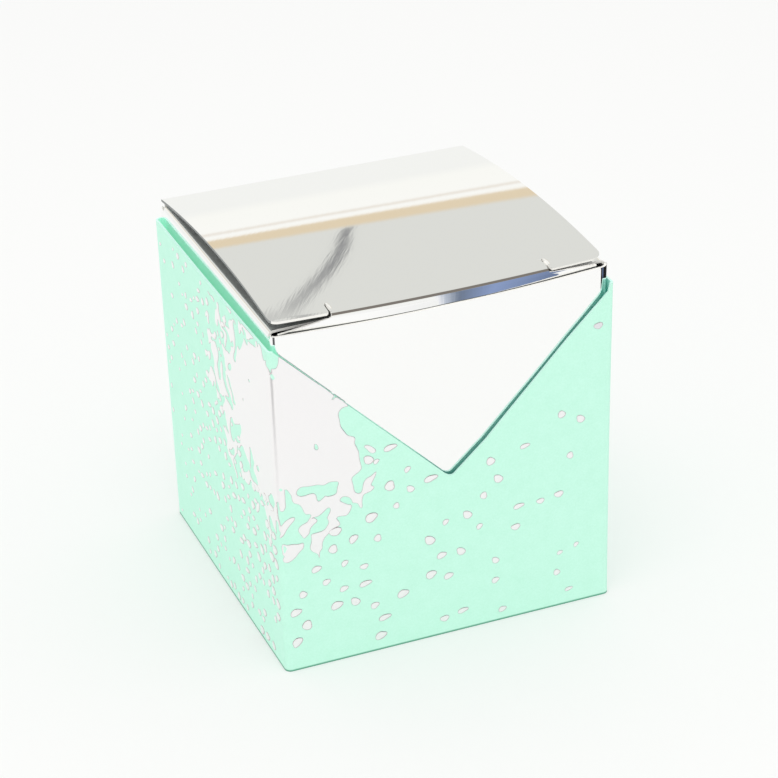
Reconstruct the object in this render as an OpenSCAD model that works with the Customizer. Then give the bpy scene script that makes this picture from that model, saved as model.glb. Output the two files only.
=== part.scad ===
// Favor box: a tuck-top box folded from mirror foil card, standing in an
// open card sleeve whose front is cut away in a wide V. A foil spatter is
// pressed onto the sleeve around its front-left fold.
// Units are millimetres. The origin is the middle of the base, +Z is up,
// the V faces -Y, and the lid's crease runs along the top of the back wall.

/* [Box] */
// Outside width of the box, across the front wall
box_w = 50.8; // [44:0.2:64]
// Outside depth of the box, from front wall to back wall
box_d = 50.8; // [44:0.2:64]
// Height of the side walls, up to the folds of the dust flaps
box_h = 54.8; // [48:0.2:72]
// Thickness of the foil card
card_t = 0.4; // [0.3:0.05:0.5]
// Outside radius of every fold in the foil card
fold_r = 0.9; // [0.7:0.1:1.3]
// How far the front wall's top edge lies below the side folds
front_drop = 0.4; // [0:0.1:1.5]
// Width of the glue flap inside the left wall
glue_flap_w = 12; // [8:1:16]
// Height cut off each end of the glue flap
glue_flap_trim = 4; // [2:0.5:8]
// Thickness of the air left between folded layers of card
ply_gap = 0.1; // [0.05:0.05:0.3]

/* [Dust flaps] */
// Reach of each dust flap from the outside of its side wall
dust_reach = 19; // [12:0.5:20]
// How far a dust flap narrows at its free end, at the back
dust_taper = 7; // [3:0.5:10]
// Relief between a dust flap and the upright folds at its ends
dust_relief = 0.5; // [0.3:0.1:1.5]
// Play between a dust flap's front edge and the tuck flap
dust_play = 0.6; // [0.4:0.1:1.5]
// Radius of a dust flap's front corner
dust_corner_r = 4; // [2:0.5:5]

/* [Lid] */
// Play at each side between the lid panel and the box's outside
lid_side_play = 0.2; // [0.1:0.1:0.8]
// Height of the lid's front fold above the top of the side walls
lid_rise = 1.3; // [1.2:0.1:3]
// Bow of the lid panel above the straight line from crease to fold
lid_bow = 1.45; // [1.1:0.05:2.2]
// Height of the lid's underside above the side folds, at the crease
lid_seat = 0.1; // [0.1:0.05:0.4]
// Gap in the crease, between the lid and the back wall's top edge
crease_gap = 0.1; // [0.05:0.05:0.3]
// Radius of the lid panel's two front corners
lid_corner_r = 1.5; // [0.8:0.1:2]
// How much the card swells on each side in the crease and the front fold
fold_swell = 0.03; // [0.02:0.01:0.05]
// Length of the tuck flap below its fold
tuck_len = 11.5; // [8:0.5:14]
// Angle at which the tuck flap leans in from the front wall
tuck_lean = 8; // [7:0.5:11]
// Play between the tuck flap and the front wall's top edge
tuck_play = 0.2; // [0.15:0.05:0.5]
// Play at each side between the tuck flap and the side walls
tuck_side_play = 0.8; // [0.6:0.1:2]
// Radius of the tuck flap's free corners
tuck_corner_r = 7; // [3:0.5:8]

/* [Lock slits] */
// Length of the slit at each end of the lid's front fold
slit_len = 9; // [5:0.5:12]
// Width of the slit at its closed end
slit_w = 0.3; // [0.2:0.05:0.5]
// How far the lid panel's lips reach past the start of the front fold
slit_lip = 0.6; // [0.3:0.1:0.8]
// How far the tuck flap's shoulder drops below the slit at the outer end
shoulder_drop = 1.3; // [0.6:0.1:1.5]
// Length of the short cut that runs back into the lid from each slit's end
hook_len = 2.4; // [1:0.1:4]

/* [Base] */
// Height of the tab that holds the base panel inside the front wall
base_tab_h = 11; // [6:0.5:14]
// Play between the base tab and the bottom dust flaps
base_play = 0.5; // [0.3:0.1:1.5]

/* [Sleeve] */
// Thickness of the sleeve's card
sleeve_t = 0.35; // [0.3:0.05:0.4]
// Air between the box and the sleeve on each side
sleeve_gap = 0.45; // [0.45:0.05:0.8]
// Height of the sleeve
sleeve_h = 52; // [46:0.2:52]
// Outside radius of the sleeve's upright folds
sleeve_fold_r = 0.9; // [0.7:0.1:1.2]
// Height of the V's lowest point above the base
notch_base = 26.7; // [20:0.1:34]
// Width of the flat at the V's lowest point
notch_tip_w = 1.2; // [0.6:0.1:3]
// Width of card left standing beside the V at each top corner
notch_land = 0.6; // [0.5:0.1:2]
// Width of the glued seam tab inside the right wall
seam_tab_w = 12; // [8:1:16]
// Height cut off each end of the seam tab
seam_tab_trim = 2; // [1:0.5:5]

/* [Foil spatter] */
// Thickness of the foil on the sleeve
foil_t = 0.04; // [0.03:0.01:0.08]
// Height of the spatter's centre on the front-left fold
spatter_z = 38; // [30:0.5:44]
// Reach of the solid foil from the fold, across the front
field_front = 11; // [6:0.5:13]
// Reach of the solid foil from the fold, across the left wall
field_left = 17; // [4:0.5:20]
// Height of the solid foil, above and below the centre
field_half_h = 13; // [8:0.5:15]
// Pitch of the grid on which the single flecks are scattered
fleck_pitch = 3.7; // [3.2:0.1:6]
// Radius of the smallest fleck
fleck_r_min = 0.45; // [0.3:0.05:0.6]
// Radius of the largest fleck
fleck_r_max = 0.95; // [0.7:0.05:1.2]
// Bare margin between a fleck and any edge or fold of the sleeve
fleck_margin = 0.5; // [0.4:0.1:1.5]
// Distance from the centre at which the flecks run out
spatter_reach = 64; // [40:1:80]

/* [Hidden] */
$fn = 64;
// How far a cut runs past the surface that it opens
over_cut = 1;

// Inside radius of a fold in the foil card
fold_in = fold_r - card_t;
// Height at which the upright folds start, above the bottom dust flaps
wall_foot = card_t + ply_gap + fold_r;
// Height of the front wall's top edge
front_top = box_h - front_drop;
// The crease's axis lies in the middle of the back wall's card
hinge_y = box_d / 2 - card_t / 2;
hinge_z = box_h + lid_seat + card_t / 2;
// Height of the back wall's top edge, just under the lid's rolled end
back_top = hinge_z - card_t / 2 - fold_swell - crease_gap;
// Front end of the dust flaps: behind the tuck flap and its play
dust_front = box_d / 2 - 2 * card_t - tuck_play - dust_play;
dust_back = box_d / 2 - fold_r - dust_relief;
// Half the span of a fold between two upright folds
fold_span = box_d / 2 - fold_r - dust_relief;
// Front face of the base's tab
base_front = box_d / 2 - card_t - ply_gap;

// Lid in side view: y runs to the back, z up. The panel is a round arc that
// leaves the crease and runs smoothly into the front fold.
lid_w = box_w - 2 * lid_side_play;
fold_mid = fold_r - card_t / 2;
fold_z = box_h + lid_rise - fold_r;
fold_y = -box_d / 2 + card_t + tuck_play + fold_r * cos(tuck_lean)
    - (fold_z - fold_r * sin(tuck_lean) - front_top) * tan(tuck_lean);
lid_chord = norm([hinge_y - fold_y, hinge_z - fold_z]);
arc_r = lid_chord * lid_chord / (8 * lid_bow) + lid_bow / 2;
// The arc's centre is arc_r from the crease, and arc_r less the fold's
// middle radius from the fold's centre
near_r = arc_r - fold_mid;
along = (arc_r * arc_r - near_r * near_r + lid_chord * lid_chord) / (2 * lid_chord);
below = sqrt(arc_r * arc_r - along * along);
chord_y = (fold_y - hinge_y) / lid_chord;
chord_z = (fold_z - hinge_z) / lid_chord;
arc_y = hinge_y + along * chord_y - below * chord_z;
arc_z = hinge_z + along * chord_z + below * chord_y;
// Direction from the arc's centre to the crease and to the front fold
crease_angle = atan2(hinge_z - arc_z, hinge_y - arc_y);
front_angle = atan2(fold_z - arc_z, fold_y - arc_y);
tuck_w = box_w - 2 * card_t - 2 * tuck_side_play;
// Past the slits the panel's lips reach on to the crease line of the fold
lip_angle = front_angle + slit_lip / arc_r * 180 / PI;
lip_y = arc_y + (arc_r + card_t / 2) * cos(lip_angle);
lip_z = arc_z + (arc_r - card_t / 2) * sin(lip_angle);
slit_start = box_w / 2 - slit_len;
// Overlap of the fold with the flat card at both its ends, in degrees
fold_overlap = 8;

// Sleeve
sleeve_w = box_w + 2 * (sleeve_gap + sleeve_t);
sleeve_d = box_d + 2 * (sleeve_gap + sleeve_t);
notch_half = sleeve_w / 2 - notch_land;
// Sideways step of the V's edges for each millimetre of height
notch_slope = (notch_half - notch_tip_w / 2) / (sleeve_h - notch_base);

// Rectangle with round corners, centred on the origin
module round_rect(w, d, r) {
    square([w - 2 * r, d], center = true);
    square([w, d - 2 * r], center = true);
    for (x = [-1, 1], y = [-1, 1])
        translate([x * (w / 2 - r), y * (d / 2 - r)])
            circle(r);
}

// Square tube of card with four upright folds
module card_tube(w, d, h, t, r) {
    linear_extrude(h)
        difference() {
            round_rect(w, d, r);
            round_rect(w - 2 * t, d - 2 * t, r - t);
        }
}

// Quarter-round fold in the foil card, in the +x +y corner, along z
module fold_bend(length) {
    linear_extrude(length, center = true)
        intersection() {
            difference() {
                circle(fold_r);
                circle(fold_in);
            }
            square(2 * fold_r);
        }
}

// One dust flap in plan, hinged on the right wall, front at -y
module dust_outline(front, back) {
    hinge_x = box_w / 2 - fold_r;
    tip_x = box_w / 2 - dust_reach;
    difference() {
        polygon([
            [hinge_x, -front],
            [tip_x, -front],
            [tip_x, back - dust_taper],
            [tip_x + dust_taper / 2, back - dust_taper / 3],
            [hinge_x - dust_taper / 3, back],
            [hinge_x, back]
        ]);
        translate([tip_x, -front])
            difference() {
                square(2 * dust_corner_r, center = true);
                translate([dust_corner_r, dust_corner_r])
                    circle(dust_corner_r);
            }
    }
}

module top_dust_flap() {
    hinge_x = box_w / 2 - fold_r;
    translate([0, 0, box_h - card_t])
        linear_extrude(card_t)
            dust_outline(dust_front, dust_back);
    translate([hinge_x, 0, box_h - fold_r])
        rotate([90, 0, 0])
            fold_bend(2 * fold_span);
}

module bottom_dust_flap() {
    hinge_x = box_w / 2 - fold_r;
    translate([0, 0, card_t + ply_gap])
        linear_extrude(card_t)
            dust_outline(base_front - card_t - base_play, dust_back);
    translate([hinge_x, 0, wall_foot])
        rotate([-90, 0, 0])
            fold_bend(2 * fold_span);
}

// Base panel, hinged on the back wall, with a tab up inside the front wall
module base_panel() {
    panel_w = box_w - 2 * fold_r;
    back_y = box_d / 2 - fold_r;
    front_y = -base_front + fold_r;
    translate([-panel_w / 2, front_y, 0])
        cube([panel_w, back_y - front_y, card_t]);
    translate([0, back_y, fold_r])
        rotate([0, 90, 0])
            fold_bend(panel_w);
    translate([0, front_y, fold_r])
        rotate([0, 90, 180])
            fold_bend(panel_w - 2 * dust_relief);
    translate([-panel_w / 2 + dust_relief, -base_front, fold_r])
        cube([panel_w - 2 * dust_relief, card_t, base_tab_h - fold_r]);
}

// Walls, with their edges cut for the dust flaps, the lid and the base
module box_walls() {
    span_w = box_w - 2 * fold_r;
    difference() {
        translate([0, 0, wall_foot])
            card_tube(box_w, box_d, back_top - wall_foot, card_t, fold_r);
        for (side = [-1, 1])
            translate([side * box_w / 2, 0, box_h])
                cube([2 * fold_r, 2 * fold_span, 2 * fold_r], center = true);
        translate([-box_w, -box_d / 2 - fold_r, front_top])
            cube([2 * box_w, 2 * fold_r, box_h]);
    }
    translate([-span_w / 2, -box_d / 2, 0])
        cube([span_w, card_t, wall_foot]);
    translate([-span_w / 2, box_d / 2 - card_t, fold_r])
        cube([span_w, card_t, wall_foot - fold_r]);
}

module glue_flap() {
    translate([-box_w / 2 + card_t, box_d / 2 - card_t - glue_flap_w, wall_foot + glue_flap_trim])
        cube([card_t, glue_flap_w, box_h - wall_foot - 2 * glue_flap_trim]);
}

// The whole folded sheet but its lid: walls, flaps and base
module inner_box() {
    color([0.86, 0.86, 0.87])
        union() {
            box_walls();
            glue_flap();
            base_panel();
            for (side = [0, 1])
                mirror([side, 0, 0]) {
                    top_dust_flap();
                    bottom_dust_flap();
                }
        }
}

// Sector of a ring in side view, between two directions
module ring_sector(r_out, r_in, from, to) {
    far = 2 * r_out;
    middle = (from + to) / 2;
    intersection() {
        difference() {
            circle(r_out);
            circle(r_in);
        }
        polygon([
            [0, 0],
            far * [cos(from), sin(from)],
            far * [cos(middle), sin(middle)],
            far * [cos(to), sin(to)]
        ]);
    }
}

// Stands a side view up: its x becomes y, its y becomes z
module across(width) {
    rotate([90, 0, 90])
        linear_extrude(width, center = true)
            children();
}

// Outline of the lid panel seen from above, from the lips' front edge back
module panel_plan() {
    half = lid_w / 2;
    depth = hinge_y - lip_y + card_t;
    translate([-half, lid_corner_r])
        square([lid_w, depth - lid_corner_r]);
    translate([-half + lid_corner_r, 0])
        square([lid_w - 2 * lid_corner_r, depth]);
    for (side = [-1, 1])
        translate([side * (half - lid_corner_r), lid_corner_r])
            circle(lid_corner_r);
}

// Lid panel: an arch with a rolled end at the crease. Its front edge runs
// on as a lip beyond each slit, and stops short between them for the fold.
module lid_panel() {
    inner_x = slit_start + slit_w;
    far_angle = lip_angle + over_cut / arc_r * 180 / PI;
    difference() {
        intersection() {
            across(lid_w + 2 * over_cut)
                translate([arc_y, arc_z])
                    ring_sector(arc_r + card_t / 2, arc_r - card_t / 2, crease_angle, far_angle, $fn = 720);
            translate([0, lip_y, box_h])
                linear_extrude(lid_rise + lid_bow + over_cut)
                    panel_plan();
        }
        across(2 * inner_x)
            translate([arc_y, arc_z])
                rotate(front_angle)
                    translate([arc_r - fold_r, 0])
                        square(2 * fold_r);
        for (side = [-1, 1])
            translate([side * (slit_start + slit_w / 2), lip_y, lip_z])
                cube([slit_w, 2 * hook_len, 6 * card_t], center = true);
    }
    across(lid_w)
        translate([hinge_y, hinge_z])
            circle(card_t / 2 + fold_swell);
}

module lid_fold() {
    across(tuck_w)
        translate([fold_y, fold_z])
            ring_sector(fold_r + fold_swell, fold_in - fold_swell, front_angle - fold_overlap, 180 + tuck_lean);
}

// Outline of the tuck flap, its fold along y = 0 and its free end at +y
module tuck_outline() {
    half = tuck_w / 2;
    square_y = tuck_len - tuck_corner_r;
    // The flap's top end runs a little way up inside the thicker fold
    rise = fold_r * sin(fold_overlap);
    translate([-half, -rise])
        square([tuck_w, square_y + rise]);
    translate([-half + tuck_corner_r, 0])
        square([tuck_w - 2 * tuck_corner_r, tuck_len]);
    for (side = [0, 1])
        mirror([side, 0])
            translate([half - tuck_corner_r, square_y])
                intersection() {
                    circle(tuck_corner_r);
                    square(tuck_corner_r);
                }
}

// Tuck flap hanging from the end of the fold
module tuck_flap() {
    translate([0, fold_y, fold_z])
        rotate([tuck_lean, 0, 0])
            translate([0, -fold_r, 0])
                rotate([-90, 0, 0])
                    linear_extrude(card_t)
                        tuck_outline();
}

// Block that cuts the tuck flap's right shoulder free of the lid panel
module shoulder_cutter() {
    slope = shoulder_drop / slit_len;
    start_z = lip_z - slit_w;
    translate([0, fold_y, 0])
        rotate([90, 0, 0])
            linear_extrude(4 * fold_r, center = true)
                polygon([
                    [slit_start, start_z],
                    [box_w, start_z - slope * (box_w - slit_start)],
                    [box_w, 2 * box_h],
                    [slit_start, 2 * box_h]
                ]);
}

module lid() {
    color([0.82, 0.82, 0.84]) {
        lid_panel();
        difference() {
            union() {
                lid_fold();
                tuck_flap();
            }
            for (side = [0, 1])
                mirror([side, 0, 0])
                    shoulder_cutter();
        }
    }
}

// The V cut out of the sleeve's front wall
module notch() {
    over = notch_half + notch_slope * over_cut;
    translate([0, -sleeve_d / 2 + sleeve_fold_r, 0])
        rotate([90, 0, 0])
            linear_extrude(2 * sleeve_fold_r)
                polygon([
                    [-notch_tip_w / 2, notch_base],
                    [notch_tip_w / 2, notch_base],
                    [over, sleeve_h + over_cut],
                    [-over, sleeve_h + over_cut]
                ]);
}

module sleeve() {
    color([0.74, 0.95, 0.87]) {
        difference() {
            card_tube(sleeve_w, sleeve_d, sleeve_h, sleeve_t, sleeve_fold_r);
            notch();
        }
        translate([sleeve_w / 2 - 2 * sleeve_t, sleeve_d / 2 - sleeve_t - seam_tab_w, seam_tab_trim])
            cube([sleeve_t, seam_tab_w, sleeve_h - 2 * seam_tab_trim]);
    }
}

// Foil spatter. A face is drawn flat: u runs away from the fold, v is height.

// Uneven edge of the solid foil at v, at most reach from the fold
function field_edge(reach, v) =
    let (s = (v - spatter_z) / field_half_h)
    reach * sqrt(max(0, 1 - s * s)) * (0.8 + 0.12 * sin(71 * v) + 0.08 * sin(167 * v));

// Height of the V's edge above a point u from the fold
function notch_v(u) = notch_base + (sleeve_w / 2 - u - notch_tip_w / 2) / notch_slope;

// Highest point of foil on the front, u from the fold
function front_limit(u) = min(sleeve_h, notch_v(u)) - fleck_margin;

module field_shape(reach) {
    steps = 52;
    polygon(concat(
        [for (i = [0:steps])
            let (v = spatter_z + field_half_h * (2 * i / steps - 1))
            [sleeve_fold_r + field_edge(reach, v), v]],
        [[sleeve_fold_r, spatter_z + field_half_h], [sleeve_fold_r, spatter_z - field_half_h]]
    ));
}

// Fleck with a slightly uneven outline
module fleck(u, v, r, seed) {
    jitter = rands(0.75, 1.15, 7, seed);
    tilt = rands(0, 360, 1, seed + 1)[0];
    translate([u, v])
        polygon([for (i = [0:6])
            let (a = tilt + 360 * i / 7)
            r * jitter[i] * [1.25 * cos(a), 0.85 * sin(a)]]);
}

// Chance of a fleck at a distance from the spatter's centre
function chance(far) = 1.3 * (1 - far / spatter_reach);

// Flecks outside the solid foil, thinning out away from the centre
module flecks(width, reach, on_front, seed) {
    columns = floor((width - 2 * fleck_margin) / fleck_pitch);
    rows = floor(sleeve_h / fleck_pitch);
    for (i = [0:columns - 1], j = [0:rows - 1]) {
        draw = rands(0, 1, 4, seed + 97 * i + 13 * j);
        u = (i + 0.5 + 0.5 * (draw[0] - 0.5)) * fleck_pitch + sleeve_fold_r;
        v = (j + 0.5 + 0.5 * (draw[1] - 0.5)) * fleck_pitch;
        r = fleck_r_min + (fleck_r_max - fleck_r_min) * draw[2];
        room = 1.45 * r + fleck_margin;
        top = on_front ? front_limit(u + room) : sleeve_h;
        clear = u > sleeve_fold_r + field_edge(reach, v) * 1.05 + room || abs(v - spatter_z) > field_half_h + r;
        inside = u > sleeve_fold_r + room && u < width - sleeve_fold_r - room && v > room && v < top - room;
        if (clear && inside && draw[3] < chance(norm([u, 1.2 * (v - spatter_z)])))
            fleck(u, v, r, seed + 31 * i + 7 * j);
    }
}

module foil_sheet() {
    linear_extrude(foil_t)
        children();
}

module front_foil() {
    translate([-sleeve_w / 2, -sleeve_d / 2, 0])
        rotate([90, 0, 0])
            foil_sheet() {
                difference() {
                    field_shape(field_front);
                    polygon([
                        [0, notch_v(0) - fleck_margin],
                        [sleeve_w / 2, notch_v(sleeve_w / 2) - fleck_margin],
                        [sleeve_w / 2, 2 * sleeve_h],
                        [0, 2 * sleeve_h]
                    ]);
                }
                flecks(sleeve_w, field_front, true, 11);
            }
}

module left_foil() {
    translate([-sleeve_w / 2, -sleeve_d / 2, 0])
        rotate([90, 0, -90])
            mirror([1, 0, 0])
                foil_sheet() {
                    field_shape(field_left);
                    flecks(sleeve_d, field_left, false, 503);
                }
}

// Foil that wraps the front-left fold
module fold_foil() {
    translate([-sleeve_w / 2 + sleeve_fold_r, -sleeve_d / 2 + sleeve_fold_r, spatter_z - field_half_h])
        linear_extrude(2 * field_half_h)
            intersection() {
                difference() {
                    circle(sleeve_fold_r + foil_t);
                    circle(sleeve_fold_r);
                }
                translate([-2 * sleeve_fold_r, -2 * sleeve_fold_r])
                    square(2 * sleeve_fold_r);
            }
}

module foil_print() {
    color([0.93, 0.93, 0.94])
        union() {
            front_foil();
            left_foil();
            fold_foil();
        }
}

sleeve();
foil_print();
inner_box();
lid();
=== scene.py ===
# %% [markdown]
# # A favor box in a spattered card sleeve
# The real thing is two pieces of folded card. A tuck-top box is cut from
# mirror foil card, and it stands in an open sleeve of mint card whose front is
# cut away in a wide V. Silver foil is spattered on the sleeve's front-left
# fold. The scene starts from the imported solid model, so every size and place
# comes from it or repeats one of its named values.

# %% Load the frame
import math

import bpy
import numpy as np
from mathutils import Matrix, Vector
from mathutils.geometry import delaunay_2d_cdt


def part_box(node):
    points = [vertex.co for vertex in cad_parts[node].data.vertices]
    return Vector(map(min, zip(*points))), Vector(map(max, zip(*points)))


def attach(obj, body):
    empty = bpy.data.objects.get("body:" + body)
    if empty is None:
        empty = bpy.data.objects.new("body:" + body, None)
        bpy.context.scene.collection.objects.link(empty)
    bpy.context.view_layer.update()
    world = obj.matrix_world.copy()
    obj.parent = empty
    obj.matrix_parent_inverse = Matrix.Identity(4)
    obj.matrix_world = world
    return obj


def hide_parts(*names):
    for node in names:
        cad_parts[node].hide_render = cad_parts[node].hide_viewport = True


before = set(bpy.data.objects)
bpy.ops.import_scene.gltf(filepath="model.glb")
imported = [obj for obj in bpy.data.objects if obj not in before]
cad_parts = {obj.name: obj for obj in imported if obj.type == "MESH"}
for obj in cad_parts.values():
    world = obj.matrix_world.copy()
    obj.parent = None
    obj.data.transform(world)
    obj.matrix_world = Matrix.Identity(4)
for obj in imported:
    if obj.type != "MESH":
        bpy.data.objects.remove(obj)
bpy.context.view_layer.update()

# %% [markdown]
# ## Sizes
# Everything below is worked out in millimetres, the unit in which card is cut
# and scored, and becomes metres only when a mesh is made. The outside sizes
# are read from the frame, so the dressed box always fits the solid one.

# %% Sizes in millimetres
MM = 0.001


def outside(node):
    """Lowest and highest corner of a solid, in millimetres."""
    low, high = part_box(node)
    return np.array(low) / MM, np.array(high) / MM


sleeve_low, sleeve_high = outside("sleeve")
box_low, box_high = outside("inner_box")
SLEEVE_W = sleeve_high[0] - sleeve_low[0]
SLEEVE_H = sleeve_high[2]
BOX_W = box_high[0] - box_low[0]
BOX_H = box_high[2]
SLEEVE_T = 0.35  # thickness of the sleeve's card
CARD_T = 0.4  # thickness of the box's card
FOLD_R = 0.9  # outer radius of a fold
GLUE_GAP = 0.02  # glue between two layers
BOX_ASIDE = 0.1  # how far right of the middle the box stands
TOP_FLARE = 0.5  # how far the right walls have spread at the top
print(f"sleeve {SLEEVE_W:.2f} x {SLEEVE_H:.2f} mm, box {BOX_W:.2f} x {BOX_H:.2f} mm")

# %% [markdown]
# ## How a folded sheet is made
# A card box could be modelled as thick boxes with bevelled edges, but real
# card has one thickness everywhere, round folds and cut edges that show the
# paper's core. So each sheet is made as it is in the factory. A flat blank is
# cut out along its outline, and then every point of the blank is carried to
# its place on the folded box. The same blank gives the outer face, the inner
# face one card thickness behind it, and the cut edge between the two.
#
# First the folding. Seen along its fold lines a sheet is a path of straight
# runs and round turns. The path below gives the point on the outer face for a
# distance along the card, measured in the middle of its thickness, as a
# maker scores it.

# %% A path of runs and turns
class FoldPath:
    """Side view of folded card: straight runs and left turns, outer face on the right."""

    def __init__(self, start, heading, steps, thickness, begin=0.0):
        self.parts = []
        point, angle, at = np.array(start, float), math.radians(heading), begin
        for kind, *size in steps:
            ahead = np.array([math.cos(angle), math.sin(angle)])
            right = np.array([ahead[1], -ahead[0]])
            if kind == "run":
                length, turn, radius = size[0], 0.0, 0.0
                end = point + ahead * length
            else:
                radius, turn = size[0], math.radians(size[1] if len(size) > 1 else 90)
                length = (radius - thickness / 2) * turn
                centre = point - right * radius
                end = centre + radius * (right * math.cos(turn) + ahead * math.sin(turn))
            self.parts.append((at, at + length, point, angle, turn, radius))
            point, angle, at = end, angle + turn, at + length
        self.begin, self.end = begin, at

    def marks(self):
        """Distance at the start of every run and turn, and at the end."""
        return [part[0] for part in self.parts] + [self.end]

    def lines(self, spacing, turn_lines):
        """Distances at which the blank needs a row of points."""
        found = [self.begin]
        for low, high, _, _, turn, _ in self.parts:
            wanted = (high - low) / spacing
            if turn:
                wanted = max(wanted, turn_lines * turn / (math.pi / 2))
            count = max(1, math.ceil(wanted))
            found += [low + (high - low) * k / count for k in range(1, count + 1)]
        return found

    def at(self, distance):
        """Points on the outer face and directions out of it, for an array of distances."""
        distance = np.asarray(distance, float)
        place = np.zeros((len(distance), 2))
        out = np.zeros((len(distance), 2))
        for index, (low, high, point, angle, turn, radius) in enumerate(self.parts):
            first, last = index == 0, index == len(self.parts) - 1
            here = (distance >= low if not first else True) & (distance < high if not last else True)
            here = np.broadcast_to(here, distance.shape)
            gone = distance[here] - low
            ahead = np.array([math.cos(angle), math.sin(angle)])
            right = np.array([ahead[1], -ahead[0]])
            if turn:
                swung = (gone / (high - low) * turn)[:, None]
                normal = right * np.cos(swung) + ahead * np.sin(swung)
                place[here] = point - right * radius + radius * normal
                out[here] = normal
            else:
                place[here] = point + gone[:, None] * ahead
                out[here] = right
        return place, out


def runs(lengths, radii=None):
    """Straight runs with a quarter turn between each two."""
    steps = [("run", lengths[0])]
    for length, radius in zip(lengths[1:], radii or [FOLD_R] * len(lengths)):
        steps += [("turn", radius), ("run", length)]
    return steps


# %% [markdown]
# Next the cutting. The outline and the rows of points form one drawing of
# lines, and a constrained Delaunay triangulation fills it with triangles that
# respect every line. Rows lie close together across a fold and far apart on
# the flat, so a fold is round and a wall stays light.

# %% Cut a blank
TINY = 1e-4


def crossings(outline, axis, value):
    """Where a straight line across the blank crosses its outline, in order."""
    found = []
    for p, q in zip(outline, outline[1:] + outline[:1]):
        if (p[axis] <= value) != (q[axis] <= value):
            share = (value - p[axis]) / (q[axis] - p[axis])
            found.append(p[1 - axis] + share * (q[1 - axis] - p[1 - axis]))
    return sorted(found)


def cut_blank(outline, s_lines, t_lines):
    """Fills an outline with triangles along the given lines."""
    points = [tuple(map(float, p)) for p in outline]
    edges = [(i, (i + 1) % len(points)) for i in range(len(points))]
    for axis, values in ((0, s_lines), (1, t_lines)):
        for value in values:
            ends = crossings(outline, axis, value)
            for low, high in zip(ends[::2], ends[1::2]):
                if high - low > TINY:
                    pair = [(value, low), (value, high)]
                    points += pair if axis == 0 else [p[::-1] for p in pair]
                    edges.append((len(points) - 2, len(points) - 1))
    flat, _, triangles, *_ = delaunay_2d_cdt([Vector(p) for p in points], edges, [], 1, TINY)
    return np.array([tuple(p) for p in flat]), counter_clockwise(np.array(flat), triangles)


def counter_clockwise(flat, triangles):
    """The same triangles, all wound the same way."""
    found = []
    for a, b, c in triangles:
        area = np.cross(flat[b] - flat[a], flat[c] - flat[a])
        if abs(area) > 1e-9:
            found.append((a, b, c) if area > 0 else (a, c, b))
    return found


def rounded(corner, before, after, radius, count=6):
    """Points of a round corner, from the side that leads in to the one that leads out."""
    corner, before, after = (np.array(p, float) for p in (corner, before, after))
    a = (before - corner) / np.linalg.norm(before - corner)
    b = (after - corner) / np.linalg.norm(after - corner)
    reach = radius / math.tan(math.acos(np.clip(a @ b, -1, 1)) / 2)
    start, end = corner + a * reach, corner + b * reach
    found = []
    for k in range(count + 1):
        share = k / count
        bend = 2 * share * (1 - share) * corner
        found.append(tuple((1 - share) ** 2 * start + bend + share**2 * end))
    return found


# %% [markdown]
# Last the folding itself. A function says where each point of the outer face
# goes. The direction out of the card comes from two short steps on that
# surface, and every face keeps this exact direction as its custom normal, so
# a mirror finish reflects without facets. The cut edge is a narrow band of
# its own colour.

# %% Fold a blank into a closed sheet
def surface(place, flat):
    """Points of the outer face and the directions out of it."""
    step = 1e-3
    along = place(flat + (step, 0)) - place(flat - (step, 0))
    up = place(flat + (0, step)) - place(flat - (0, step))
    normal = np.cross(along, up)
    return place(flat), normal / np.linalg.norm(normal, axis=1)[:, None]


def open_edges(triangles):
    """Edges with a triangle on one side only, in the triangle's own direction."""
    seen = {}
    for tri in triangles:
        for a, b in zip(tri, tri[1:] + tri[:1]):
            seen[a, b] = True
    return [(a, b) for a, b in seen if (b, a) not in seen]


def add_object(name, data):
    """Puts a mesh, a lamp or a camera into the scene."""
    piece = bpy.data.objects.new(name, data)
    bpy.context.scene.collection.objects.link(piece)
    return piece


def plain_mesh(name, points, faces, materials=()):
    """A mesh in metres from points in millimetres."""
    mesh = bpy.data.meshes.new(name)
    mesh.from_pydata([tuple(np.array(p) * MM) for p in points], [], faces)
    for material in materials:
        mesh.materials.append(material)
    return mesh


def add_numbers(mesh, label, domain, numbers):
    """Keeps a number for each point or face, which materials and node trees can read."""
    mesh.attributes.new(label, "FLOAT", domain).data.foreach_set("value", numbers)


def make_mesh(name, points, faces, normals, slots, materials):
    """An object from points in millimetres, with a normal for each face corner."""
    mesh = plain_mesh(name, points, faces, materials)
    mesh.polygons.foreach_set("material_index", slots)
    mesh.polygons.foreach_set("use_smooth", [True] * len(faces))
    mesh.normals_split_custom_set([tuple(n) for n in normals])
    mesh.update()
    print(name, len(mesh.vertices), "points", len(mesh.polygons), "faces")
    return add_object(name, mesh)


ROLL_STEPS = 8  # flat steps of a rolled edge


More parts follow.
